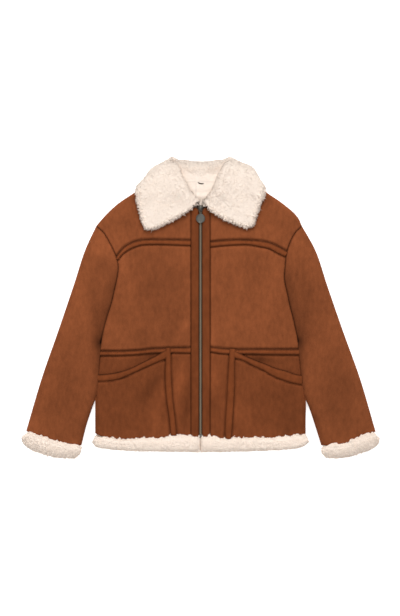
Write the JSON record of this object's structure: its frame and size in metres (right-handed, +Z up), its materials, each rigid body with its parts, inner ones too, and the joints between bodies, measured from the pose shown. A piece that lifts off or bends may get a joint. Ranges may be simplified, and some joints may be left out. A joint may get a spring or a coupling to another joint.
{
  "type": "shearling coat",
  "caption": "Child's aviator-style shearling coat, suede outside and cream pile inside, with pile collar, hem and cuffs, slanted welt pockets and a centre zip, zipped up and laid flat.",
  "frame": {"origin": "centre of the laid-out coat's bounding box, on the surface it lies on", "axes": "+X across the coat towards the sleeve on the right as seen from the front, +Y from the hem to the collar, +Z up out of the front"},
  "size_m": [0.628, 0.5269, 0.0271],
  "materials": {
    "suede": "matt brushed suede, tan brown",
    "suede_lower": "matt brushed suede, darker tan brown",
    "suede_strip": "matt brushed suede, reddish brown",
    "pile": "curled cream fleece pile",
    "gunmetal": "satin dark gunmetal",
    "tape": "matt dark brown woven tape"
  },
  "bodies": {
    "coat": {"back": "suede", "front_yoke_left": "suede", "front_yoke_right": "suede", "front_chest_left": "suede", "front_chest_right": "suede", "front_lower_left": "suede_lower", "front_lower_right": "suede_lower", "pocket_panel_left": "suede_lower", "pocket_panel_right": "suede_lower", "pocket_facing_left": "suede_lower", "pocket_facing_right": "suede_lower", "placket_left": "suede_strip", "placket_right": "suede_strip", "yoke_strip_left": "suede_strip", "yoke_strip_right": "suede_strip", "waist_strip_left": "suede_strip", "waist_strip_right": "suede_strip", "pocket_strip_left": "suede_strip", "pocket_strip_right": "suede_strip", "pocket_welt_left": "suede_strip", "pocket_welt_right": "suede_strip", "sleeve_left": "suede", "sleeve_right": "suede", "cuff_trim_left": "pile", "cuff_trim_right": "pile", "hem_trim_front_left": "pile", "hem_trim_front_right": "pile", "hem_trim_back": "pile", "collar": "pile", "zip_chain": "gunmetal", "zip_end_box": "gunmetal", "slider": "gunmetal", "hanger_loop": "tape"},
    "pull": {"zip_pull": "gunmetal"}
  },
  "joints": [
    {"name": "pull_swing", "type": "hinge", "parent": "coat", "child": "pull", "pos_m": [0, 0.1745, 0.01844], "axis": [-1, 0, 0], "range_deg": [0, 135]}
  ]
}
